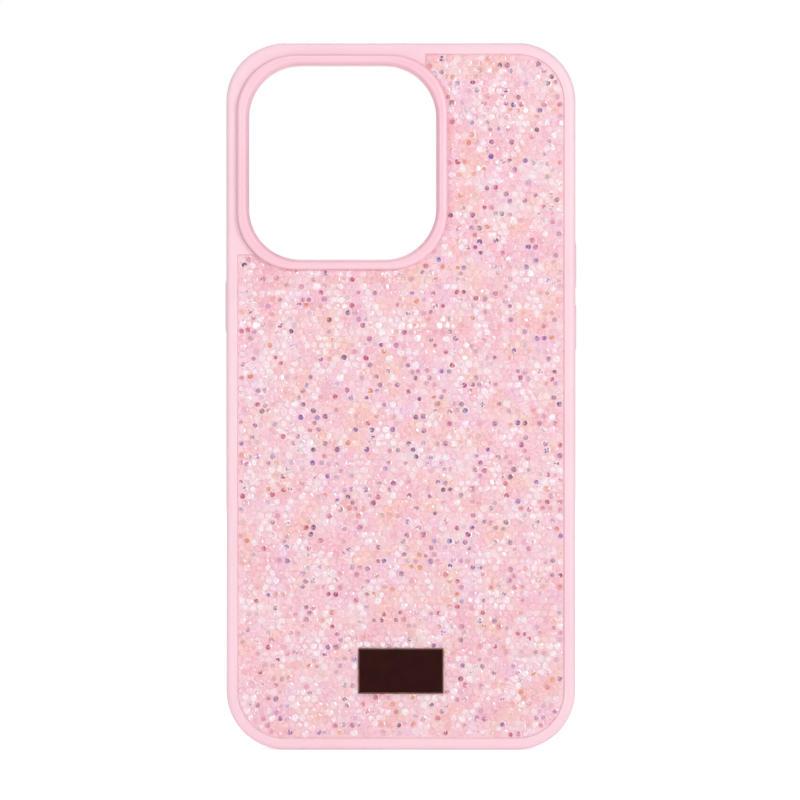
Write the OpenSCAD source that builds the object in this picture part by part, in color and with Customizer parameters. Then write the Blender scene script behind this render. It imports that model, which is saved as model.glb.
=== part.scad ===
/* [Phone that the case holds] */
// Width of the phone
phone_w = 71.5; // [68:0.1:74]
// Height of the phone
phone_h = 147.5; // [140:0.1:150]
// Thickness of the phone without its camera
phone_t = 7.85; // [7.2:0.05:8.6]
// Radius of the phone's corners, seen from the back
phone_r = 10.8; // [9:0.1:12]

/* [Soft band] */
// Thickness of the band along the long sides
side_wall = 1.85; // [1.7:0.05:2.4]
// Thickness of the band at the top and bottom
end_wall = 2.45; // [2:0.05:3]
// Radius of the band's outer corners
band_r = 12.6; // [12:0.1:14]
// Width of the plain border round the stones
border_w = 2.6; // [2.4:0.1:3.2]
// How far the band reaches behind the back plate's inner face
band_rear = 3.0; // [2.9:0.1:3.6]
// Rounding of the band's rear edge
rear_round = 1.3; // [0.8:0.1:1.5]
// Rounding of the band's front edge
front_round = 0.8; // [0.4:0.1:1]
// Height of the screen lip above the phone
lip_t = 0.85; // [0.6:0.05:1.2]
// How far the screen lip reaches over the phone
lip_reach = 1.1; // [0.8:0.1:1.4]

/* [Hard back] */
// Thickness of the back plate
plate_t = 1.2; // [1:0.1:1.3]
// How far the plate's edge sits in the band's groove
plate_tongue = 0.75; // [0.5:0.05:1]

/* [Camera bezel] */
// Width of the camera opening
cam_w = 40.5; // [38:0.1:41]
// Height of the camera opening
cam_h = 42; // [39:0.1:42]
// Corner radius of the camera opening
cam_r = 11.2; // [9:0.1:12]
// Outer width of the bezel
bezel_w = 45.3; // [45:0.1:46]
// Outer height of the bezel
bezel_h = 46.2; // [46:0.1:47]
// Outer corner radius of the bezel
bezel_r = 12.4; // [11.5:0.1:13]
// How far the bezel stands behind the back plate's inner face
bezel_rear = 4.6; // [4.2:0.1:5.2]
// Distance of the camera opening's centre from the case's middle
cam_x = -12.6; // [-12.6:0.1:-12.2]
// Distance of the camera opening's centre below the top edge
cam_drop = 25.9; // [25.8:0.1:26.6]

/* [Stone panel] */
// Thickness of the adhesive film under the panel
film_t = 0.15; // [0.1:0.05:0.2]
// Thickness of the resin sheet that holds the stones
carrier_t = 0.4; // [0.3:0.05:0.5]
// Height of the stones above the resin sheet
stone_h = 1.1; // [0.9:0.05:1.1]
// Where the stones stop to the left of the camera's top corner
panel_cut_x = 5.4; // [4:0.1:6]
// Height of the panel's shoulder beside the camera's lower corner
panel_cut_z = 106.7; // [106:0.1:108]

/* [Name plate] */
// Width of the name plate
name_w = 18.3; // [14:0.1:22]
// Height of the name plate
name_h = 9.7; // [8:0.1:12]
// Thickness of the name plate
name_t = 0.8; // [0.6:0.05:1]
// Bevel along the name plate's edges
name_bevel = 0.35; // [0.2:0.05:0.5]
// Height of the name plate's centre above the bottom edge
name_z = 17; // [15:0.1:25]

/* [Key covers] */
// Length of each volume key cover
volume_len = 10; // [9:0.5:10.5]
// Length of the side key cover
side_len = 11.5; // [10:0.5:20]
// Width of the key covers
key_w = 3.8; // [3.2:0.1:4.2]
// How far the key covers stand out of the band
key_proud = 0.4; // [0.2:0.05:0.6]
// Distance of the volume up key below the phone's top
volume_up_drop = 45.4; // [44:0.2:46]
// Distance of the volume down key below the phone's top
volume_down_drop = 58.8; // [58.6:0.2:61]
// Distance of the side key below the phone's top
side_key_drop = 54.3; // [50:0.1:58]

/* [Openings in the band] */
// Width of the charging port opening
port_w = 13; // [11:0.5:14]
// Depth of the charging port opening
port_d = 6.6; // [5.8:0.1:6.8]
// Length of the ringer switch opening
switch_len = 9; // [8:0.5:10]
// Width of the ringer switch opening
switch_w = 5; // [4.6:0.1:5.4]
// Distance of the ringer switch below the phone's top
switch_drop = 24.5; // [23:0.5:26]
// Number of sound holes on each side of the port
sound_holes = 4; // [2:1:5]
// Radius of a sound hole
sound_r = 0.9; // [0.6:0.1:1]
// Distance between sound holes
sound_pitch = 2.8; // [2.6:0.1:3]

/* [Hidden] */
$fn = 64;
slack = 0.1;          // between the phone and the band
fit = 0.05;           // between pieces that are pressed or glued together
over = 1;             // how far a cutting shape passes the wall it cuts

cavity_w = phone_w + 2 * slack;
cavity_h = phone_h + 2 * slack;
cavity_r = phone_r + slack;
case_w = cavity_w + 2 * side_wall;
case_h = cavity_h + 2 * end_wall;
mid_z = case_h / 2;
phone_top = mid_z + phone_h / 2;
cam_z = case_h - cam_drop;

// Depths are measured rearwards from the back plate's inner face.
phone_front = -phone_t;
lip_under = phone_front - slack;
lip_front = lip_under - lip_t;
key_depth = -phone_t / 2;
film_top = plate_t + film_t;
carrier_top = film_top + carrier_t;
stones_top = carrier_top + stone_h;
pad_t = 0.6;
name_base = carrier_top + pad_t;
depth_mid = (bezel_rear + lip_front) / 2;

spigot_wall = 1.3;
spigot_w = cam_w + 2 * spigot_wall;
spigot_h = cam_h + 2 * spigot_wall;
spigot_r = cam_r + spigot_wall;
crest_outer = 1.1;
crest_inner = 0.8;

// The key covers: a pill that passes through the band, and a flange that keeps it in.
flange_t = 0.5;
flange_extra = 0.8;
skin_t = 0.65;
key_gap = 0.2;
key_round = 0.3;
pill_flat = 0.2;

// Flat shapes, drawn as seen from the back: x across, y up.

module round_box(w, h, r) {
    square([w - 2 * r, h], center = true);
    square([w, h - 2 * r], center = true);
    for (x = [-1, 1], y = [-1, 1])
        translate([x * (w / 2 - r), y * (h / 2 - r)])
            circle(r);
}

module at_middle() {
    translate([0, mid_z])
        children();
}

module at_camera() {
    translate([cam_x, cam_z])
        children();
}

module bezel_outline(grow = 0) {
    at_camera()
        round_box(bezel_w + 2 * grow, bezel_h + 2 * grow, bezel_r + grow);
}

// The stones' outline: a rounded rectangle, less the bezel and the plain corner round the camera.
module panel_outline(grow = 0) {
    inset = border_w - grow;
    difference() {
        at_middle()
            round_box(case_w - 2 * inset, case_h - 2 * inset, band_r - inset);
        bezel_outline(2 * fit - grow);
        translate([-case_w, panel_cut_z + grow])
            square([case_w + panel_cut_x - grow, case_h]);
    }
}

// Solids. Inside a layer, z is the depth rearwards from the back plate's inner face.

module layer(from, to) {
    translate([0, 0, from])
        linear_extrude(to - from)
            children();
}

// Runs an edge profile round a rounded rectangle. The profile's x is 0 at the edge, and less inside it.
module round_rim(w, h, r) {
    corners = [[1, 1, 0], [-1, 1, 90], [-1, -1, 180], [1, -1, 270]];
    for (c = corners)
        translate([c[0] * (w / 2 - r), c[1] * (h / 2 - r), 0])
            rotate([0, 0, c[2]])
                rotate_extrude(angle = 90)
                    translate([r, 0])
                        children();
    sides = [[0, w, h], [90, h, w], [180, w, h], [270, h, w]];
    for (s = sides)
        if (s[2] > 2 * r)
            rotate([0, 0, s[0]])
                translate([s[1] / 2, s[2] / 2 - r, 0])
                    rotate([90, 0, 0])
                        linear_extrude(s[2] - 2 * r)
                            children();
}

// A rounded rectangular block whose front and rear edges are rounded by a and b.
module soft_block(w, h, r, from, to, a, b) {
    half = (to - from) / 2;
    rim = 2 * max(a, b);
    inset = 1.5 * max(a, b);
    round_rim(w, h, r) {
        translate([-rim, from + a])
            square([rim, 2 * half - a - b]);
        translate([-rim, from])
            square([rim - a, half]);
        translate([-rim, from + half])
            square([rim - b, half]);
        if (a > 0)
            translate([-a, from + a])
                circle(a);
        if (b > 0)
            translate([-b, to - b])
                circle(b);
    }
    layer(from, to)
        round_box(w - 2 * inset, h - 2 * inset, r - inset);
}

// Turns the flat shapes upright: their y becomes the case's height, and the rear faces -Y.
module upright() {
    rotate([90, 0, 0])
        translate([0, 0, -depth_mid])
            children();
}

// Turns flat shapes to face out of the band's long side, on the left (-1) or right (1) as seen
// from the back. Inside it, x is the case's height, y its depth, and z points out of the case.
module on_side(side, height) {
    translate([0, height, key_depth])
        rotate([0, 90 * side, 0])
            rotate([0, 0, 90])
                children();
}

module bumper_band() {
    color("pink")
        upright()
            difference() {
                translate([0, mid_z, 0])
                    soft_block(case_w, case_h, band_r, lip_front, band_rear, front_round, rear_round);
                phone_space();
                rear_opening();
                port_openings();
                switch_opening();
                key_window(1, phone_top - volume_up_drop, volume_len);
                key_window(1, phone_top - volume_down_drop, volume_len);
                key_window(-1, phone_top - side_key_drop, side_len);
            }
}

// The phone's cavity, the opening inside the screen lip and the groove for the back plate.
module phone_space() {
    layer(lip_under, over / 2)
        at_middle()
            round_box(cavity_w, cavity_h, cavity_r);
    layer(lip_front - over, lip_under + over)
        at_middle()
            round_box(cavity_w - 2 * lip_reach, cavity_h - 2 * lip_reach, cavity_r - lip_reach);
    layer(0, plate_t)
        at_middle()
            plate_blank(fit);
}

module rear_opening() {
    layer(plate_t - over / 2, band_rear + over) {
        panel_outline(2 * fit);
        bezel_outline(fit);
    }
}

module port_openings() {
    translate([0, 0, key_depth])
        rotate([-90, 0, 0]) {
            translate([0, 0, -over])
                linear_extrude(end_wall + 2 * over)
                    round_box(port_w, port_d, port_d / 2 - pill_flat);
            for (side = [-1, 1], n = [0:sound_holes - 1])
                translate([side * (port_w / 2 + 7 + n * sound_pitch), 0, -over])
                    cylinder(r = sound_r, h = end_wall + 2 * over);
        }
}

module switch_opening() {
    on_side(1, phone_top - switch_drop)
        translate([0, 0, cavity_w / 2 - over])
            linear_extrude(side_wall + 2 * over)
                round_box(switch_len, switch_w, switch_w / 2 - pill_flat);
}

// The window that a key cover passes through, and the pocket behind it for the flange.
module key_window(side, height, length) {
    pill = key_w + 2 * key_gap;
    pocket = key_w + 2 * flange_extra + 2 * key_gap;
    on_side(side, height) {
        linear_extrude(case_w / 2 + over)
            round_box(length + 2 * key_gap, pill, pill / 2 - pill_flat);
        linear_extrude(case_w / 2 - skin_t)
            round_box(length + 2 * flange_extra + 2 * key_gap, pocket, pocket / 2 - pill_flat);
    }
}

module plate_blank(grow = 0) {
    reach = plate_tongue - fit + grow;
    round_box(cavity_w + 2 * reach, cavity_h + 2 * reach, cavity_r + reach);
}

module back_plate() {
    color("mistyrose")
        upright()
            layer(0, plate_t)
                difference() {
                    at_middle()
                        plate_blank();
                    at_camera()
                        round_box(spigot_w + 2 * fit, spigot_h + 2 * fit, spigot_r + fit);
                }
}

// A raised ring round the camera, with a thinner spigot that sits in the back plate's hole.
module camera_bezel() {
    color("lightpink")
        upright()
            translate([cam_x, cam_z, 0])
                difference() {
                    union() {
                        soft_block(bezel_w, bezel_h, bezel_r, plate_t, bezel_rear, 0, crest_outer);
                        layer(0, plate_t + over)
                            round_box(spigot_w, spigot_h, spigot_r);
                    }
                    layer(-over, bezel_rear + over)
                        round_box(cam_w, cam_h, cam_r);
                    bezel_flare();
                }
}

// The rounding of the bezel's inner edge.
module bezel_flare() {
    round_rim(cam_w + 2 * crest_inner, cam_h + 2 * crest_inner, cam_r + crest_inner)
        difference() {
            translate([-2 * crest_inner, bezel_rear - crest_inner])
                square([2 * crest_inner, crest_inner + over]);
            translate([0, bezel_rear - crest_inner])
                circle(crest_inner);
        }
}

module panel_film() {
    color("white")
        upright()
            layer(plate_t, film_top)
                panel_outline(-0.3);
}

module stone_carrier() {
    color("palevioletred")
        upright()
            layer(film_top, carrier_top)
                panel_outline(-0.1);
}

// The space that the glued stones fill, with a window for the name plate.
module stone_bed() {
    color("lavenderblush")
        upright()
            layer(carrier_top, stones_top)
                difference() {
                    panel_outline(0);
                    translate([0, name_z])
                        square([name_w + 4 * fit, name_h + 4 * fit], center = true);
                }
}

// A flat plate whose upper edges are bevelled.
module bevelled_plate(w, h, t, bevel) {
    intersection() {
        rotate([90, 0, 0])
            linear_extrude(h, center = true)
                bevel_section(w, t, bevel);
        rotate([90, 0, 90])
            linear_extrude(w, center = true)
                bevel_section(h, t, bevel);
    }
}

module bevel_section(w, t, bevel) {
    polygon([[-w / 2, 0], [w / 2, 0], [w / 2, t - bevel], [w / 2 - bevel, t],
             [bevel - w / 2, t], [-w / 2, t - bevel]]);
}

module name_plate() {
    color("#2b1412")
        upright()
            translate([0, name_z, name_base])
                bevelled_plate(name_w, name_h, name_t, name_bevel);
}

module name_plate_pad() {
    margin = 0.5;
    color("dimgray")
        upright()
            translate([0, name_z, 0])
                layer(carrier_top, name_base)
                    square([name_w - 2 * margin, name_h - 2 * margin], center = true);
}

// A key cover: a soft-edged pill in the band's window, on a flange in the pocket behind it.
module key_cover(side, height, length) {
    flange_out = case_w / 2 - skin_t - fit;
    flange_w = key_w + 2 * flange_extra;
    color("lightpink")
        upright()
            on_side(side, height) {
                soft_block(length, key_w, key_w / 2 - pill_flat, flange_out, case_w / 2 + key_proud,
                           0, key_round);
                layer(flange_out - flange_t, flange_out)
                    round_box(length + 2 * flange_extra, flange_w, flange_w / 2 - pill_flat);
            }
}

module volume_up_key() {
    key_cover(1, phone_top - volume_up_drop, volume_len);
}

module volume_down_key() {
    key_cover(1, phone_top - volume_down_drop, volume_len);
}

module side_key() {
    key_cover(-1, phone_top - side_key_drop, side_len);
}

bumper_band();
back_plate();
camera_bezel();
panel_film();
stone_carrier();
stone_bed();
name_plate();
name_plate_pad();
volume_up_key();
volume_down_key();
side_key();
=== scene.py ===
import math
import random

import bpy
import bmesh
from mathutils import Euler, Matrix, Vector, kdtree, noise


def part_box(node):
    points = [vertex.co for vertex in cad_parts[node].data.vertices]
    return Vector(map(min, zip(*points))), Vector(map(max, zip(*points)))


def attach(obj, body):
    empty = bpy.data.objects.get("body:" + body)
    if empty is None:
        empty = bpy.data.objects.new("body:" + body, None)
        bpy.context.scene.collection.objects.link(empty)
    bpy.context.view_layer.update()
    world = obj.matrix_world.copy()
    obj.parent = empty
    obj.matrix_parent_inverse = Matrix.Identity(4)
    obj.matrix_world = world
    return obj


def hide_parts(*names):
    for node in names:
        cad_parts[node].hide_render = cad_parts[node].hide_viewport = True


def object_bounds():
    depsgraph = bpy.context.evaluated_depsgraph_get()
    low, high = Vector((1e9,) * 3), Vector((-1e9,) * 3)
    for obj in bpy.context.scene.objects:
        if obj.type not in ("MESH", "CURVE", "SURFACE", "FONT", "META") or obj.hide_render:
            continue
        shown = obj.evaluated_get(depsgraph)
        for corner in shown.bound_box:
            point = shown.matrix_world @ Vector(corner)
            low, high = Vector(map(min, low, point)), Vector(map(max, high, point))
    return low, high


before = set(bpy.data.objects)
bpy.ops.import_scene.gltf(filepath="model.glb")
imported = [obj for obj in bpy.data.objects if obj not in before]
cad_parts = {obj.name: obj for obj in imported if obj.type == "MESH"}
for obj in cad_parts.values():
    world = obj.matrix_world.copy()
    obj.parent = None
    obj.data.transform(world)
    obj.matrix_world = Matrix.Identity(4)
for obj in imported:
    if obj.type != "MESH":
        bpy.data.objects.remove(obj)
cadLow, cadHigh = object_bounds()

mm = 0.001
tiny = 0.00002          # places nearer than this count as one
mergeGap = 0.000002     # points nearer than this are made one
farOff = 0.1            # past every piece, for cutters
noiseSpan = (0.3, 0.7)  # where most of a noise's values lie


# colours, materials

def srgb(red, green, blue):
    # a screen colour, 0 to 255, as the linear colour that a shader takes
    linear = []
    for value in (red, green, blue):
        part = value / 255
        linear.append(part / 12.92 if part <= 0.04045 else ((part + 0.055) / 1.055) ** 2.4)
    return (*linear, 1.0)


def startMaterial(name, roughness=0.4, coat=0.0, coatRoughness=0.1, specular=0.5):
    paint = bpy.data.materials.new(name)
    paint.use_nodes = True
    shader = paint.node_tree.nodes["Principled BSDF"]
    shader.inputs["Roughness"].default_value = roughness
    shader.inputs["Coat Weight"].default_value = coat
    shader.inputs["Coat Roughness"].default_value = coatRoughness
    shader.inputs["Specular IOR Level"].default_value = specular
    return paint, paint.node_tree, shader


def addNode(tree, kind, **settings):
    node = tree.nodes.new(kind)
    for name, value in settings.items():
        setattr(node, name, value)
    return node


def addNoise(tree, scale, detail=3.0, roughness=0.5):
    # noise on the piece's own coordinates; scale is in waves per metre
    place = addNode(tree, "ShaderNodeTexCoord")
    clouds = addNode(tree, "ShaderNodeTexNoise")
    clouds.inputs["Scale"].default_value = scale
    clouds.inputs["Detail"].default_value = detail
    clouds.inputs["Roughness"].default_value = roughness
    tree.links.new(place.outputs["Object"], clouds.inputs["Vector"])
    return clouds.outputs["Fac"]


def addRamp(tree, factor, stops):
    # a ramp between two colours, each with its place
    ramp = addNode(tree, "ShaderNodeValToRGB")
    marks = ramp.color_ramp.elements
    for mark, (position, colour) in zip(marks, stops):
        mark.position = position
        mark.color = colour
    tree.links.new(factor, ramp.inputs["Fac"])
    return ramp.outputs["Color"]


def addRange(tree, value, fromRange, toRange):
    # stretches a value from one range to another
    spread = addNode(tree, "ShaderNodeMapRange")
    spread.inputs["From Min"].default_value, spread.inputs["From Max"].default_value = fromRange
    spread.inputs["To Min"].default_value, spread.inputs["To Max"].default_value = toRange
    tree.links.new(value, spread.inputs["Value"])
    return spread.outputs["Result"]


def addBump(tree, shader, height, distance):
    bump = addNode(tree, "ShaderNodeBump")
    bump.inputs["Strength"].default_value = 1.0
    bump.inputs["Distance"].default_value = distance
    tree.links.new(height, bump.inputs["Height"])
    tree.links.new(bump.outputs["Normal"], shader.inputs["Normal"])


moulding = {"coatRoughness": 0.25, "cloudScale": 45, "grainScale": 5200, "glossier": 0.04, "duller": 0.05}


def mouldedMaterial(name, deep, pale, roughness, coat, grain):
    # soft moulded plastic: faint clouds of colour, a fine satin grain and slightly uneven gloss
    m = moulding
    paint, tree, shader = startMaterial(name, roughness, coat, m["coatRoughness"])
    clouds = addNoise(tree, m["cloudScale"], 2)
    tree.links.new(addRamp(tree, clouds, [(0.35, deep), (0.65, pale)]), shader.inputs["Base Color"])
    gloss = addRange(tree, clouds, noiseSpan, (roughness - m["glossier"], roughness + m["duller"]))
    tree.links.new(gloss, shader.inputs["Roughness"])
    addBump(tree, shader, addNoise(tree, m["grainScale"], 2, 0.6), grain)
    return paint


def dottedMaterial(name, deep, pale, roughness, coat, pitch, height):
    # satin plastic with the fine grid of raised dots that keeps glass from sticking to it
    paint, tree, shader = startMaterial(name, roughness, coat, 0.3)
    place = addNode(tree, "ShaderNodeTexCoord")
    parts = addNode(tree, "ShaderNodeSeparateXYZ")
    tree.links.new(place.outputs["Object"], parts.inputs["Vector"])
    waves = []
    for axis in "XZ":
        turn = addNode(tree, "ShaderNodeMath", operation="MULTIPLY")
        turn.inputs[1].default_value = math.tau / pitch
        tree.links.new(parts.outputs[axis], turn.inputs[0])
        wave = addNode(tree, "ShaderNodeMath", operation="COSINE")
        tree.links.new(turn.outputs["Value"], wave.inputs[0])
        waves.append(wave.outputs["Value"])
    both = addNode(tree, "ShaderNodeMath", operation="ADD")
    for socket, wave in zip(both.inputs, waves):
        tree.links.new(wave, socket)
    dots = addRange(tree, both.outputs["Value"], (0.7, 1.5), (0, 1))
    tree.links.new(addRamp(tree, dots, [(0.0, deep), (1.0, pale)]), shader.inputs["Base Color"])
    addBump(tree, shader, dots, height)
    return paint


# modelling

def clearSelection():
    if bpy.context.object and bpy.context.object.mode != "OBJECT":
        bpy.ops.object.mode_set(mode="OBJECT")
    bpy.ops.object.select_all(action="DESELECT")


def makeActive(piece):
    clearSelection()
    piece.select_set(True)
    bpy.context.view_layer.objects.active = piece


def block(name, low, high):
    # a box from one corner to the other, with its place in its mesh
    clearSelection()
    middle = [(a + b) / 2 for a, b in zip(low, high)]
    size = [b - a for a, b in zip(low, high)]
    bpy.ops.mesh.primitive_cube_add(size=1, location=middle, scale=size)
    piece = bpy.context.object
    piece.name = piece.data.name = name
    bpy.ops.object.transform_apply(location=True, rotation=True, scale=True)
    return piece


def selectParts(piece, kind, wanted):
    # in edit mode, selects the edges or faces that wanted() picks, and counts them
    makeActive(piece)
    bpy.ops.object.mode_set(mode="EDIT")
    bpy.ops.mesh.select_mode(type=kind)
    bpy.ops.mesh.select_all(action="DESELECT")
    shape = bmesh.from_edit_mesh(piece.data)
    found = 0
    for part in (shape.edges if kind == "EDGE" else shape.faces):
        if wanted(part):
            part.select_set(True)
            found += 1
    bmesh.update_edit_mesh(piece.data)
    return found


def roundEdges(piece, wanted, radius, steps):
    if selectParts(piece, "EDGE", wanted):
        bpy.ops.mesh.bevel(offset=radius, offset_type="OFFSET", segments=steps, affect="EDGES",
                           clamp_overlap=False)
    bpy.ops.object.mode_set(mode="OBJECT")


def alongAxis(axis):
    # picks edges that run along one axis
    others = [i for i in range(3) if i != axis]
    return lambda edge: all(abs(edge.verts[0].co[i] - edge.verts[1].co[i]) < tiny for i in others)


def onPlane(axis, place, sharp=0.6):
    # picks sharp edges that lie in one plane
    def wanted(edge):
        if any(abs(v.co[axis] - place) > tiny for v in edge.verts) or len(edge.link_faces) != 2:
            return False
        return edge.calc_face_angle(0) >= sharp
    return wanted


def slab(name, low, high, radius, steps=14, axis=1):
    # a box whose four edges along the axis are rounded
    piece = block(name, low, high)
    roundEdges(piece, alongAxis(axis), radius, steps)
    return piece


def combine(piece, other, way):
    makeActive(piece)
    change = piece.modifiers.new("shape", "BOOLEAN")
    change.object = other
    change.operation = way
    change.solver = "EXACT"
    bpy.ops.object.modifier_apply(modifier=change.name)
    bpy.data.objects.remove(other)


def finishPiece(piece, body, paint, node, smoothAngle=35):
    # merges, smooths and paints a piece, and says what it rides on and stands for
    makeActive(piece)
    bpy.ops.object.mode_set(mode="EDIT")
    bpy.ops.mesh.select_all(action="SELECT")
    bpy.ops.mesh.remove_doubles(threshold=mergeGap)
    bpy.ops.mesh.normals_make_consistent(inside=False)
    bpy.ops.object.mode_set(mode="OBJECT")
    bpy.ops.object.shade_smooth_by_angle(angle=math.radians(smoothAngle))
    even = piece.modifiers.new("evenShading", "WEIGHTED_NORMAL")
    even.keep_sharp = True
    even.weight = 100
    bpy.ops.object.modifier_apply(modifier=even.name)
    piece.data.materials.clear()
    piece.data.materials.append(paint)
    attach(piece, body)
    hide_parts(node)


def nodeBox(name):
    low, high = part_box(name)
    return Vector(low), Vector(high)


def insideRounded(x, z, low, high, radius):
    # how far a point is inside a rounded rectangle; below 0 outside
    qx = abs(x - (low[0] + high[0]) / 2) - (high[0] - low[0]) / 2 + radius
    qz = abs(z - (low[1] + high[1]) / 2) - (high[1] - low[1]) / 2 + radius
    return radius - math.hypot(max(qx, 0), max(qz, 0)) - min(max(qx, qz), 0)


# places that several pieces share

bandLow, bandHigh = nodeBox("bumper_band")
bedLow, bedHigh = nodeBox("stone_bed")
bezelLow, bezelHigh = nodeBox("camera_bezel")
nameLow, nameHigh = nodeBox("name_plate")
bezelMiddle = (bezelLow + bezelHigh) / 2
rearFace, frontFace = bandLow.y, bandHigh.y
innerFace = nodeBox("back_plate")[1].y    # the back plate's face against the phone
halfPhoneDepth = 3.925 * mm
keyDepth = innerFace + halfPhoneDepth     # keys, switch and port are in line with the phone's middle
endFlat = 0.2 * mm                        # what stays flat at each end of a rounded slot or key
keyBodies = {"volume_up_key": "volume_up", "volume_down_key": "volume_down", "side_key": "side"}


# soft band

bandShape = {
    "cornerRadius": 12.6 * mm, "rearRound": 1.3 * mm, "frontRound": 0.8 * mm, "softEdge": 0.28 * mm,
    "sideWall": 1.85 * mm, "endWall": 2.45 * mm, "cavityRadius": 10.9 * mm, "cavityPastFace": 0.4 * mm,
    "lip": 0.85 * mm, "lipReach": 1.1 * mm, "grooveReach": 0.75 * mm, "plate": 1.2 * mm,
    "roomPastFace": 0.5 * mm, "ringGap": 0.01 * mm, "throughWall": 3 * mm,
    "portWidth": 13 * mm, "portDepth": 6.6 * mm, "switchLength": 9 * mm, "switchWidth": 5 * mm,
    "switchDrop": 24.5 * mm, "phoneTop": 2.55 * mm,
    "soundHoles": 4, "soundRadius": 0.9 * mm, "soundPitch": 2.8 * mm, "soundStart": 7 * mm, "soundDepth": 8 * mm,
    "finish": {"deep": srgb(251, 212, 223), "pale": srgb(253, 217, 227), "roughness": 0.42, "coat": 0.15,
               "grain": 0.000006},
}
panelShape = {"radius": 10.0 * mm, "cutX": 5.4 * mm, "cutZ": 106.7 * mm, "gap": 0.1 * mm}


def panelCutter(grow, low, high):
    # the outline of the stones as a solid between two depths
    piece = slab("panelCutter", (bedLow.x - grow, low, bedLow.z - grow),
                 (bedHigh.x + grow, high, bedHigh.z + grow), panelShape["radius"] + grow)
    corner = block("corner", (-farOff, low - mm, panelShape["cutZ"] + grow),
                   (panelShape["cutX"] - grow, high + mm, 2 * farOff))
    combine(piece, corner, "DIFFERENCE")
    return piece


def keyRoom(node):
    # a key's side, its middle, the band's face there, and half the length and width of its window
    low, high = nodeBox(node)
    side = 1 if low.x > 0 else -1
    flange, gap = keyShape["flange"], keyShape["gap"]
    halfLength, halfWidth = (high.z - low.z) / 2 - flange, (high.y - low.y) / 2 - flange
    return side, (low + high) / 2, bandHigh.x * side, halfLength + gap, halfWidth + gap


def cutKeyRoom(band, node):
    # a key's window through the band, then the wider pocket behind it for the flange
    side, middle, outer, halfLength, halfWidth = keyRoom(node)
    inner = outer - side * bandShape["throughWall"]
    for start, extra in ((outer + side * mm, 0), (outer - side * keyShape["pocket"], keyShape["flange"])):
        x = sorted((start, inner))
        room = slab("keyRoom", (x[0], middle.y - halfWidth - extra, middle.z - halfLength - extra),
                    (x[1], middle.y + halfWidth + extra, middle.z + halfLength + extra),
                    halfWidth + extra - endFlat, 8, 0)
        combine(band, room, "DIFFERENCE")


def makeBand():
    s = bandShape
    band = slab("bumper", bandLow, bandHigh, s["cornerRadius"], 20)
    roundEdges(band, onPlane(1, rearFace), s["rearRound"], 6)
    roundEdges(band, onPlane(1, frontFace), s["frontRound"], 4)
    wallX, wallZ = bandHigh.x - s["sideWall"], s["endWall"]
    top = bandHigh.z
    lipUnder = frontFace - s["lip"]
    cavity = slab("cavity", (-wallX, innerFace - s["cavityPastFace"], wallZ), (wallX, lipUnder, top - wallZ),
                  s["cavityRadius"], 16)
    combine(band, cavity, "DIFFERENCE")
    reach = s["lipReach"]
    opening = slab("opening", (-wallX + reach, lipUnder - mm, wallZ + reach),
                   (wallX - reach, frontFace + mm, top - wallZ - reach), s["cavityRadius"] - reach, 16)
    combine(band, opening, "DIFFERENCE")
    reach = s["grooveReach"]
    groove = slab("groove", (-wallX - reach, innerFace - s["plate"], wallZ - reach),
                  (wallX + reach, innerFace, top - wallZ + reach), s["cavityRadius"] + reach, 16)
    combine(band, groove, "DIFFERENCE")
    roomDepth = innerFace - s["roomPastFace"]
    combine(band, panelCutter(panelShape["gap"], rearFace - mm, roomDepth), "DIFFERENCE")
    gap = s["ringGap"]
    ringRoom = slab("ringRoom", (bezelLow.x - gap, rearFace - mm, bezelLow.z - gap),
                    (bezelHigh.x + gap, roomDepth, bezelHigh.z + gap), bezelShape["radius"] + gap, 16)
    combine(band, ringRoom, "DIFFERENCE")
    for node in keyBodies:
        cutKeyRoom(band, node)
    switchZ = top - s["phoneTop"] - s["switchDrop"]
    half, width = s["switchLength"] / 2, s["switchWidth"] / 2
    switch = slab("switch", (bandHigh.x - s["throughWall"], keyDepth - width, switchZ - half),
                  (bandHigh.x + mm, keyDepth + width, switchZ + half), width - endFlat, 10, 0)
    combine(band, switch, "DIFFERENCE")
    half, width = s["portWidth"] / 2, s["portDepth"] / 2
    port = slab("port", (-half, keyDepth - width, -mm), (half, keyDepth + width, wallZ + mm),
                width - endFlat, 10, 2)
    combine(band, port, "DIFFERENCE")
    for side in (-1, 1):
        for n in range(s["soundHoles"]):
            clearSelection()
            x = side * (half + s["soundStart"] + n * s["soundPitch"])
            bpy.ops.mesh.primitive_cylinder_add(vertices=24, radius=s["soundRadius"], depth=s["soundDepth"],
                                                location=(x, keyDepth, 0))
            combine(band, bpy.context.object, "DIFFERENCE")
    for axis, place in ((0, -bandHigh.x), (0, bandHigh.x), (2, 0), (1, frontFace), (1, rearFace)):
        roundEdges(band, onPlane(axis, place), s["softEdge"], 3)
    finishPiece(band, "case", mouldedMaterial("softPink", **s["finish"]), "bumper_band")


# raised ring round the camera

bezelShape = {
    "radius": 12.4 * mm, "holeWidth": 40.5 * mm, "holeHeight": 42 * mm, "holeRadius": 11.2 * mm,
    "outerRound": 0.85 * mm, "crownRound": 0.18 * mm, "footRound": 0.2 * mm, "slope": 0.8 * mm,
    "slopeDrop": 0.95 * mm, "wall": 1.3 * mm, "spigot": 1.5 * mm,
    "finish": {"deep": srgb(252, 205, 218), "pale": srgb(254, 211, 223), "roughness": 0.34, "coat": 0.25,
               "grain": 0.000003},
    # the slope's deeper pink is painted shade on the inner slope, which faces into the hole
    "slopeShadeFinish": {"deep": srgb(252, 198, 212), "pale": srgb(254, 205, 218), "roughness": 0.38, "coat": 0.15,
                    "grain": 0.000003},
}


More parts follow.
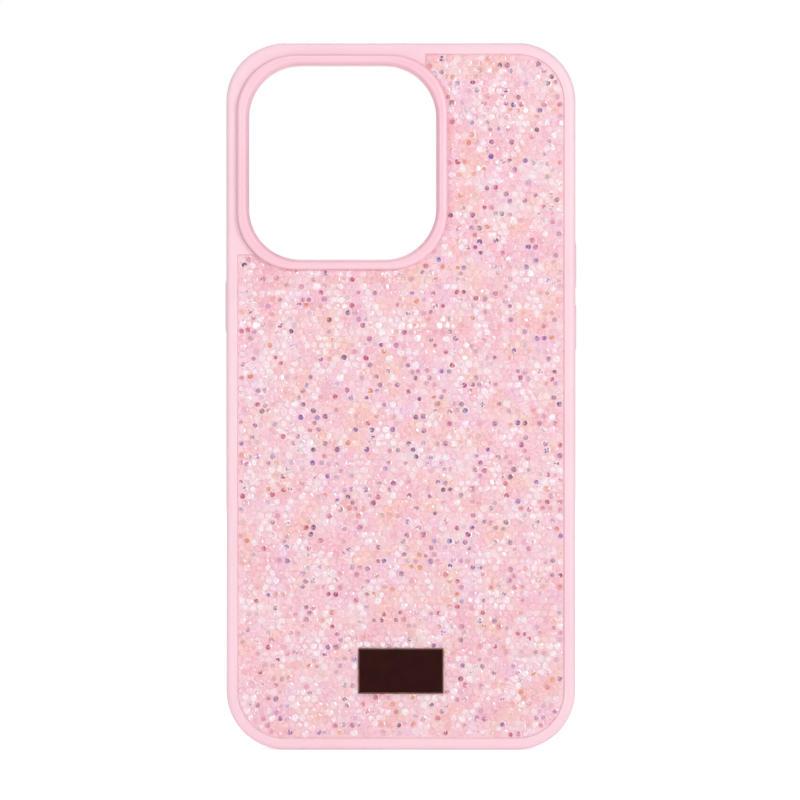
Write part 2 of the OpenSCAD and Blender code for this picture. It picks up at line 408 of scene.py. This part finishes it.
def makeBezel():
    s = bezelShape
    ring = slab("cameraRing", bezelLow, (bezelHigh.x, innerFace - bandShape["plate"], bezelHigh.z),
                s["radius"], 24)
    roundEdges(ring, onPlane(1, bezelLow.y), s["outerRound"], 7)
    halfX, halfZ = s["holeWidth"] / 2, s["holeHeight"] / 2
    x, z = bezelMiddle.x, bezelMiddle.z
    wall = s["wall"]
    spigot = slab("spigot", (x - halfX - wall, innerFace - s["spigot"], z - halfZ - wall),
                  (x + halfX + wall, innerFace, z + halfZ + wall), s["holeRadius"] + wall, 24)
    combine(ring, spigot, "UNION")
    hole = slab("hole", (x - halfX, bezelLow.y - mm, z - halfZ), (x + halfX, innerFace + mm, z + halfZ),
                s["holeRadius"], 24)
    combine(ring, hole, "DIFFERENCE")
    # the slope from the crown down into the hole
    slope, drop = s["slope"], s["slopeDrop"]
    flare = slab("flare", (x - halfX - slope, bezelLow.y, z - halfZ - slope),
                 (x + halfX + slope, bezelLow.y + drop, z + halfZ + slope), s["holeRadius"] + slope, 24)
    selectParts(flare, "FACE", lambda face: face.normal.y > 0.9)
    bpy.ops.transform.resize(value=(halfX / (halfX + slope), 1, halfZ / (halfZ + slope)),
                             center_override=(x, bezelLow.y, z))
    selectParts(flare, "FACE", lambda face: face.normal.y < -0.9)
    bpy.ops.transform.translate(value=(0, -0.01 * mm, 0))    # just past the crown, for a clean cut
    bpy.ops.object.mode_set(mode="OBJECT")
    combine(ring, flare, "DIFFERENCE")
    roundEdges(ring, onPlane(1, bezelLow.y, 0.3), s["crownRound"], 5)
    roundEdges(ring, onPlane(1, innerFace), s["footRound"], 2)
    finishPiece(ring, "case", mouldedMaterial("ringPink", **s["finish"]), "camera_bezel", smoothAngle=50)
    # the faces of the slope down into the hole take the deeper pink: painted shade
    ring.data.materials.append(mouldedMaterial("slopePinkPaintedShade", **s["slopeShadeFinish"]))
    for face in ring.data.polygons:
        away = -insideRounded(face.center.x, face.center.z, (x - halfX, z - halfZ), (x + halfX, z + halfZ),
                              s["holeRadius"])
        if away < slope - s["crownRound"] and face.normal.y < 0.5:
            face.material_index = 1


# name plate: a dark enamelled plate in a very thin rim

nameShape = {
    "rim": 0.13 * mm, "rimSlope": 0.05 * mm, "recess": 0.04 * mm, "softEdge": 0.09 * mm, "rimDepth": 0.2 * mm,
    "enamel": [(0.3, srgb(41, 8, 6)), (0.7, srgb(48, 12, 9))], "enamelRoughness": (0.28, 0.4),
    "copper": [(0.3, srgb(84, 50, 42)), (0.7, srgb(122, 80, 66))],
}


def makeNamePlate():
    s = nameShape
    plate = block("namePlate", nameLow, nameHigh)
    roundEdges(plate, lambda edge: not onPlane(1, nameHigh.y)(edge), s["softEdge"], 2)
    selectParts(plate, "FACE", lambda face: face.normal.y < -0.99)
    bpy.ops.mesh.inset(thickness=s["rim"], depth=0)
    bpy.ops.mesh.inset(thickness=s["rimSlope"], depth=-s["recess"])
    bpy.ops.object.mode_set(mode="OBJECT")
    paint, tree, shader = startMaterial("darkEnamel", 0.4, 0.0, 0.08, 0.1)
    clouds = addNoise(tree, 400, 4)
    tree.links.new(addRamp(tree, clouds, s["enamel"]), shader.inputs["Base Color"])
    tree.links.new(addRange(tree, clouds, noiseSpan, s["enamelRoughness"]), shader.inputs["Roughness"])
    finishPiece(plate, "case", paint, "name_plate", smoothAngle=30)
    rim, tree, shader = startMaterial("darkCopperRim", 0.32)
    shader.inputs["Metallic"].default_value = 0.8
    tree.links.new(addRamp(tree, addNoise(tree, 900, 3), s["copper"]), shader.inputs["Base Color"])
    plate.data.materials.append(rim)
    for face in plate.data.polygons:
        inlay = face.normal.y < -0.99 and face.center.y > nameLow.y + 0.5 * s["recess"]
        if not inlay and face.center.y < nameHigh.y - s["rimDepth"]:
            face.material_index = 1


# key covers

keyShape = {
    "gap": 0.2 * mm, "flange": 0.8 * mm, "flangeRound": 0.6 * mm, "pocket": 0.65 * mm, "seat": 0.7 * mm,
    "capRoot": 0.2 * mm, "softEdge": 0.32 * mm, "rim": 0.45 * mm, "dishSlope": 0.18 * mm, "dish": 0.1 * mm,
    "finish": {"deep": srgb(250, 210, 221), "pale": srgb(252, 217, 227), "roughness": 0.38, "coat": 0.2,
               "grain": 0.000005},
}


def makeKeys():
    # a cap with a shallow dish in its face, on a flange that keeps it in its window
    s = keyShape
    paint = mouldedMaterial("keyPink", **s["finish"])
    for node, body in keyBodies.items():
        side, middle, outer, halfLength, halfWidth = keyRoom(node)
        halfLength -= s["gap"]
        halfWidth -= s["gap"]
        low, high = nodeBox(node)
        face, inner = (high.x, low.x) if side > 0 else (low.x, high.x)
        seat = outer - side * s["seat"]
        x = sorted((face, seat - side * s["capRoot"]))
        key = slab(node + "_cap", (x[0], middle.y - halfWidth, middle.z - halfLength),
                   (x[1], middle.y + halfWidth, middle.z + halfLength), halfWidth - endFlat, 8, 0)
        roundEdges(key, onPlane(0, face), s["softEdge"], 4)
        selectParts(key, "FACE", lambda f: abs(f.normal.x) > 0.99 and abs(f.calc_center_median().x - face) < tiny)
        bpy.ops.mesh.inset(thickness=s["rim"], depth=0)
        bpy.ops.mesh.inset(thickness=s["dishSlope"], depth=-s["dish"])
        bpy.ops.object.mode_set(mode="OBJECT")
        x = sorted((inner, seat))
        flange = slab("flange", (x[0], low.y, low.z), (x[1], high.y, high.z), halfWidth + s["flangeRound"], 8, 0)
        combine(key, flange, "UNION")
        finishPiece(key, body, paint, node)


# stones

stoneShape = {
    "radii": (0.72 * mm, 0.82 * mm, 0.92 * mm), "pitch": 1.63 * mm, "rowShare": 0.866, "scatter": 0.5,
    "fromEdge": 0.25 * mm, "rounds": 22, "push": 0.35, "overEdge": 0.94, "edgeStep": 0.05 * mm,
    "girdle": 0.86, "rings": ((0.19, 0.12), (0.17, 0.07)), "point": 0.015,
    "tilt": 5, "widths": (1.02, 1.14), "depths": (0.94, 1.03), "layoutSeed": 11, "colourSeed": 5,
}
crownTints = {"blush": srgb(255, 213, 220), "rose": srgb(253, 192, 204), "peach": srgb(255, 206, 189),
              "lilac": srgb(250, 206, 232), "milk": srgb(254, 234, 238)}
# colours that some tables take, partly the stones' own tints and partly painted reflection flashes, with how often
# each comes
tableTintsAndPaintedFlashes = {"crimson": (srgb(194, 66, 102), 0.25), "violet": (srgb(122, 72, 162), 0.2),
              "magenta": (srgb(168, 66, 134), 0.18), "plum": (srgb(118, 60, 112), 0.2),
              "amber": (srgb(226, 136, 84), 0.17)}
# painted glint: the white of facets that catch a lamp
paintedGlintTint = srgb(254, 246, 250)
# how fast each drift changes across and up the panel, and its layer of the noise; warm and deep drift the crown's
# tint, clear places the clusters of painted glints
tintDrifts = {"warm": (170, 4, 200), "deep": (120, 9, 150), "clear": (260, 2, 200)}


def insidePanel(x, z):
    # how far a point is inside the field of stones; below 0 outside
    gaps = [insideRounded(x, z, (bedLow.x, bedLow.z), (bedHigh.x, bedHigh.z), panelShape["radius"]),
            -insideRounded(x, z, (bezelLow.x, bezelLow.z), (bezelHigh.x, bezelHigh.z), bezelShape["radius"]),
            -insideRounded(x, z, (nameLow.x, nameLow.z), (nameHigh.x, nameHigh.z), 0.1 * mm)]
    right, below = x - panelShape["cutX"], panelShape["cutZ"] - z
    gaps.append(math.hypot(right, below) if right > 0 and below > 0 else max(right, below))
    return min(gaps)


def layOutStones():
    # spreads stones of mixed sizes over the panel and pushes them apart until they just touch
    s = stoneShape
    draw = random.Random(s["layoutSeed"])
    stones = []
    row = 0
    z = bedLow.z
    while z < bedHigh.z:
        x = bedLow.x + (s["pitch"] / 2 if row % 2 else 0)
        while x < bedHigh.x:
            px = x + draw.uniform(-s["scatter"], s["scatter"]) * mm
            pz = z + draw.uniform(-s["scatter"], s["scatter"]) * mm
            if insidePanel(px, pz) > s["fromEdge"]:
                stones.append([px, pz, draw.choice(s["radii"])])
            x += s["pitch"]
        z += s["pitch"] * s["rowShare"]
        row += 1
    for turn in range(s["rounds"]):
        tree = kdtree.KDTree(len(stones))
        for i, (px, pz, r) in enumerate(stones):
            tree.insert((px, pz, 0), i)
        tree.balance()
        moved = []
        for i, (px, pz, r) in enumerate(stones):
            dx = dz = 0.0
            for place, j, away in tree.find_n((px, pz, 0), 8):
                if j == i or away < 1e-9:
                    continue
                overlap = r + stones[j][2] - away
                if overlap > 0:
                    dx += (px - place.x) / away * overlap * s["push"]
                    dz += (pz - place.y) / away * overlap * s["push"]
            px, pz = px + dx, pz + dz
            short = r * s["overEdge"] - insidePanel(px, pz)
            if short > 0:
                step = s["edgeStep"]
                gx = insidePanel(px + step, pz) - insidePanel(px - step, pz)
                gz = insidePanel(px, pz + step) - insidePanel(px, pz - step)
                size = math.hypot(gx, gz) or 1
                px, pz = px + gx / size * short, pz + gz / size * short
            moved.append([px, pz, r])
        stones = moved
    return stones


def makeStoneShape():
    # one cut stone, 1 across its half width, its depth in mm: flat back, girdle, two rings of facets and table
    clearSelection()
    s = stoneShape
    girdle = s["girdle"]
    bpy.ops.mesh.primitive_cylinder_add(vertices=8, radius=1, depth=girdle, rotation=(math.pi / 2, 0, 0),
                                        location=(0, -girdle / 2, 0))
    stone = bpy.context.object
    stone.name = stone.data.name = "stoneShape"
    bpy.ops.object.transform_apply(location=True, rotation=True, scale=True)
    selectParts(stone, "FACE", lambda face: face.normal.y < -0.9)
    for width, rise in s["rings"]:
        bpy.ops.mesh.inset(thickness=width, depth=rise)
    bpy.ops.mesh.poke(offset=s["point"])
    bpy.ops.object.mode_set(mode="OBJECT")
    return stone


def mixTint(a, b, share):
    return [p + (q - p) * share for p, q in zip(a, b)]


def facetColours(draw, x, z, mesh):
    # the crown's tint drifts over the panel in soft patches; some tables take other colours, partly the stones' own
    # tints and partly painted reflection flashes; painted glints come in clusters, and the girdles take painted
    # shade
    warm, deep, clear = [noise.noise(Vector((x * across, layer, z * up)))
                         for across, layer, up in tintDrifts.values()]
    t = crownTints
    share = min(1, abs(warm) * 2 + draw.uniform(-0.1, 0.1))
    crown = mixTint(t["blush"], t["peach"] if warm > 0 else t["lilac"], share)
    share = max(0, min(1, abs(deep) * 1.4 + draw.uniform(-0.2, 0.2)))
    crown = mixTint(crown, t["rose"] if deep > 0 else t["milk"], share)
    crown = mixTint(crown, draw.choice((t["milk"], t["rose"], t["rose"])), 0.7 * draw.random() ** 2)
    # stones where the clear drift runs high get clusters of painted glints
    paintedGlintCluster = clear + 0.14 * draw.gauss(0, 1) > 0.19
    table = mixTint(crown, t["rose"], draw.uniform(-0.1, 0.55))
    other, share, ragged, kind = table, 0, 0.2, "pale"
    # some tables take a dark colour: partly the stone's own tint, partly a painted reflection flash
    if draw.random() < (0.25 if paintedGlintCluster else 0.33):
        names = list(tableTintsAndPaintedFlashes)
        other = tableTintsAndPaintedFlashes[draw.choices(names, [tableTintsAndPaintedFlashes[n][1] for n in names])[0]][0]
        share, ragged, kind = draw.choice((0.2, 0.35, 0.5, 0.65, 0.85)), 0.4, "flashing"
    # the clear stones' tables are painted glint white
    elif paintedGlintCluster:
        other, share, ragged, kind = paintedGlintTint, draw.uniform(0.3, 0.95), 0.8, "clear"
    colours = []
    for face in mesh.polygons:
        if face.normal.y < -0.97:
            shade = mixTint(table, other, max(0, min(1, share * (1 + ragged * draw.uniform(-1, 0.6)))))
        else:
            tone = draw.uniform(0.89, 1.04)
            shade = [min(1, c * tone) for c in crown]
        # the girdles, the sides between the stones, take a deeper rose: painted shade between the stones
        if abs(face.normal.y) < 0.1:
            shade = mixTint(shade, t["rose"], 0.7)
        # painted glints on single facets, thick in the clusters
        elif draw.random() < (0.4 if paintedGlintCluster else 0.03):
            shade = mixTint(shade, paintedGlintTint, draw.uniform(0.4, 1))
        colours.extend((*shade[:3], 1))
    return kind, colours


def stonePaint():
    # clear hard gloss over each facet's colour, which holds its tint and the painted glints, reflection flashes and
    # shade, with a faint cloud through it
    paint, tree, shader = startMaterial("cutStone", 0.14, 1.0, 0.04, 0.6)
    facet = addNode(tree, "ShaderNodeAttribute", attribute_name="facetColour")
    cloud = addRamp(tree, addNoise(tree, 1500, 2), [(0.35, (0.95, 0.92, 0.94, 1)), (0.65, (1, 1, 1, 1))])
    clouded = addNode(tree, "ShaderNodeMix", data_type="RGBA", blend_type="MULTIPLY")
    clouded.inputs["Factor"].default_value = 1
    tree.links.new(facet.outputs["Color"], clouded.inputs["A"])
    tree.links.new(cloud, clouded.inputs["B"])
    tree.links.new(clouded.outputs["Result"], shader.inputs["Base Color"])
    return paint


def makeStones(stones):
    # copies the one stone to every place, each with its own turn, lean, size and colours
    s = stoneShape
    draw = random.Random(s["colourSeed"])
    shape = makeStoneShape()
    groups = {"pale": [], "flashing": [], "clear": []}
    for x, z, r in stones:
        mesh = shape.data.copy()
        kind, colours = facetColours(draw, x, z, mesh)
        mesh.attributes.new("facetColour", "FLOAT_COLOR", "FACE").data.foreach_set("color", colours)
        turn = Matrix.Rotation(draw.uniform(0, math.tau), 4, "Y")
        lean = Euler((math.radians(draw.gauss(0, s["tilt"])), 0, math.radians(draw.gauss(0, s["tilt"]))))
        size = Matrix.Diagonal((r * draw.uniform(*s["widths"]), mm * draw.uniform(*s["depths"]),
                                r * draw.uniform(*s["widths"]), 1))
        mesh.transform(Matrix.Translation((x, bedHigh.y, z)) @ lean.to_matrix().to_4x4() @ turn @ size)
        groups[kind].append(mesh)
    paint = stonePaint()
    for kind, meshes in groups.items():
        clearSelection()
        name = "stones_" + kind
        field = None
        for mesh in meshes:
            copy = bpy.data.objects.new(name, mesh)
            bpy.context.collection.objects.link(copy)
            copy.select_set(True)
            field = field or copy
        bpy.context.view_layer.objects.active = field
        bpy.ops.object.join()
        field.name = field.data.name = name
        field.data.materials.clear()
        field.data.materials.append(paint)
        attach(field, "case")
        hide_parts("stone_bed")
        print(name, len(meshes), "stones,", sum(len(f.vertices) - 2 for f in field.data.polygons), "triangles")
    bpy.data.objects.remove(shape)


resinShape = {
    "depth": 0.86 * mm, "grow": 0.095 * mm, "softEdge": 0.05 * mm,
    "finish": {"deep": srgb(249, 203, 212), "pale": srgb(253, 212, 220), "roughness": 0.25, "coat": 0.4,
               "grain": 0.000006},
}


def makeResin():
    # the resin that the stones are set in, up to their girdles
    s = resinShape
    surface = bedHigh.y - s["depth"]
    resin = panelCutter(s["grow"], surface, bedHigh.y)
    resin.name = resin.data.name = "stoneResin"
    ring = slab("ring", (bezelLow.x, rearFace - mm, bezelLow.z), (bezelHigh.x, innerFace, bezelHigh.z),
                bezelShape["radius"], 24)
    combine(resin, ring, "DIFFERENCE")
    window = block("window", (nameLow.x, rearFace - mm, nameLow.z), (nameHigh.x, innerFace, nameHigh.z))
    combine(resin, window, "DIFFERENCE")
    roundEdges(resin, onPlane(1, surface), s["softEdge"], 1)
    finishPiece(resin, "case", mouldedMaterial("resinPale", **s["finish"]), "stone_bed")


# finishes of the pieces that come straight from the design

backFinish = {"deep": srgb(243, 198, 210), "pale": srgb(249, 212, 221), "roughness": 0.42, "coat": 0.1,
              "pitch": 1.5 * mm, "height": 0.00005}
carrierFinish = {"deep": srgb(226, 150, 168), "pale": srgb(236, 168, 182), "roughness": 0.35, "coat": 0.3,
                 "grain": 0.000004}
filmFinish = {"deep": srgb(236, 232, 230), "pale": srgb(244, 241, 238), "roughness": 0.3, "coat": 0.2,
              "grain": 0.000002}
foamFinish = {"deep": srgb(96, 92, 92), "pale": srgb(116, 112, 112), "roughness": 0.9, "coat": 0.0,
              "grain": 0.00003}


def paintNodes():
    for node, paint in (
        ("back_plate", dottedMaterial("backPink", **backFinish)),
        ("stone_carrier", mouldedMaterial("resinPink", **carrierFinish)),
        ("panel_film", mouldedMaterial("clearFilm", **filmFinish)),
        ("name_plate_pad", mouldedMaterial("greyFoam", **foamFinish)),
    ):
        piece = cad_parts[node]
        piece.data.materials.clear()
        piece.data.materials.append(paint)


# studio

studio = {
    "roomLight": 0.48, "floorDrop": 0.0002, "floorShade": 0.93, "floorGlow": (0.14, 0.58),
    "distance": 0.75, "viewWidth": 0.17255, "sensor": 36, "left": 0.19 * mm, "lower": 0.82 * mm,
}
lamps = {    # place, size, power
    "keyLight": ((0.55, -0.85, 0.3), 0.32, 2.72),
    "fillLight": ((-0.9, -1.3, 0.3), 0.5, 2.5),
    "topLight": ((-0.1, -0.6, 1.6), 0.6, 3.5),
    "backLight": ((-0.3, 1.4, 0.9), 0.8, 8.0),
}
lampAim = Vector((0, 0, 0.08))


def makeRoom(scene):
    # pale light all round, and pure white where the room itself is seen
    world = bpy.data.worlds.new("paleRoom")
    scene.world = world
    world.use_nodes = True
    tree = world.node_tree
    back = tree.nodes["Background"]
    seen = addNode(tree, "ShaderNodeBackground")
    for shader, strength in ((back, studio["roomLight"]), (seen, 1.0)):
        shader.inputs["Color"].default_value = (1, 1, 1, 1)
        shader.inputs["Strength"].default_value = strength
    ray = addNode(tree, "ShaderNodeLightPath")
    mix = addNode(tree, "ShaderNodeMixShader")
    tree.links.new(ray.outputs["Is Camera Ray"], mix.inputs["Fac"])
    tree.links.new(back.outputs["Background"], mix.inputs[1])
    tree.links.new(seen.outputs["Background"], mix.inputs[2])
    tree.links.new(mix.outputs["Shader"], tree.nodes["World Output"].inputs["Surface"])


def makeFloor():
    clearSelection()
    bpy.ops.mesh.primitive_plane_add(size=8, location=(0, 0, -studio["floorDrop"]))
    floor = bpy.context.object
    floor.name = "floor"
    paint, tree, shader = startMaterial("paleFloor", 0.9)
    shade = studio["floorShade"]
    shader.inputs["Base Color"].default_value = (shade, shade, shade, 1)
    shader.inputs["Emission Color"].default_value = (1, 1, 1, 1)
    sight = addNode(tree, "ShaderNodeLightPath")
    glow = addRange(tree, sight.outputs["Is Camera Ray"], (0, 1), studio["floorGlow"])
    tree.links.new(glow, shader.inputs["Emission Strength"])
    floor.data.materials.append(paint)


def makeLights():
    for name, (place, size, power) in lamps.items():
        bpy.ops.object.light_add(type="AREA", location=place)
        light = bpy.context.object
        light.name = name
        light.data.size = size
        light.data.energy = power
        light.rotation_euler = (lampAim - Vector(place)).to_track_quat("-Z", "Y").to_euler()


def makeCamera(scene):
    s = studio
    middle = (cadLow + cadHigh) / 2
    place = (-s["left"], rearFace - s["distance"], middle.z - s["lower"])
    bpy.ops.object.camera_add(location=place, rotation=(math.pi / 2, 0, 0))
    camera = bpy.context.object
    camera.data.sensor_width = s["sensor"]
    camera.data.lens = s["sensor"] * s["distance"] / s["viewWidth"]
    camera.data.clip_end = 20
    scene.camera = camera


def makeStage():
    scene = bpy.context.scene
    scene.view_settings.view_transform = "Standard"
    makeRoom(scene)
    makeFloor()
    makeLights()
    makeCamera(scene)


makeBand()
print("band done")
makeBezel()
makeNamePlate()
makeKeys()
print("ring, name plate and keys done")
makeResin()
makeStones(layOutStones())
paintNodes()
makeStage()
print("finishes and studio done")
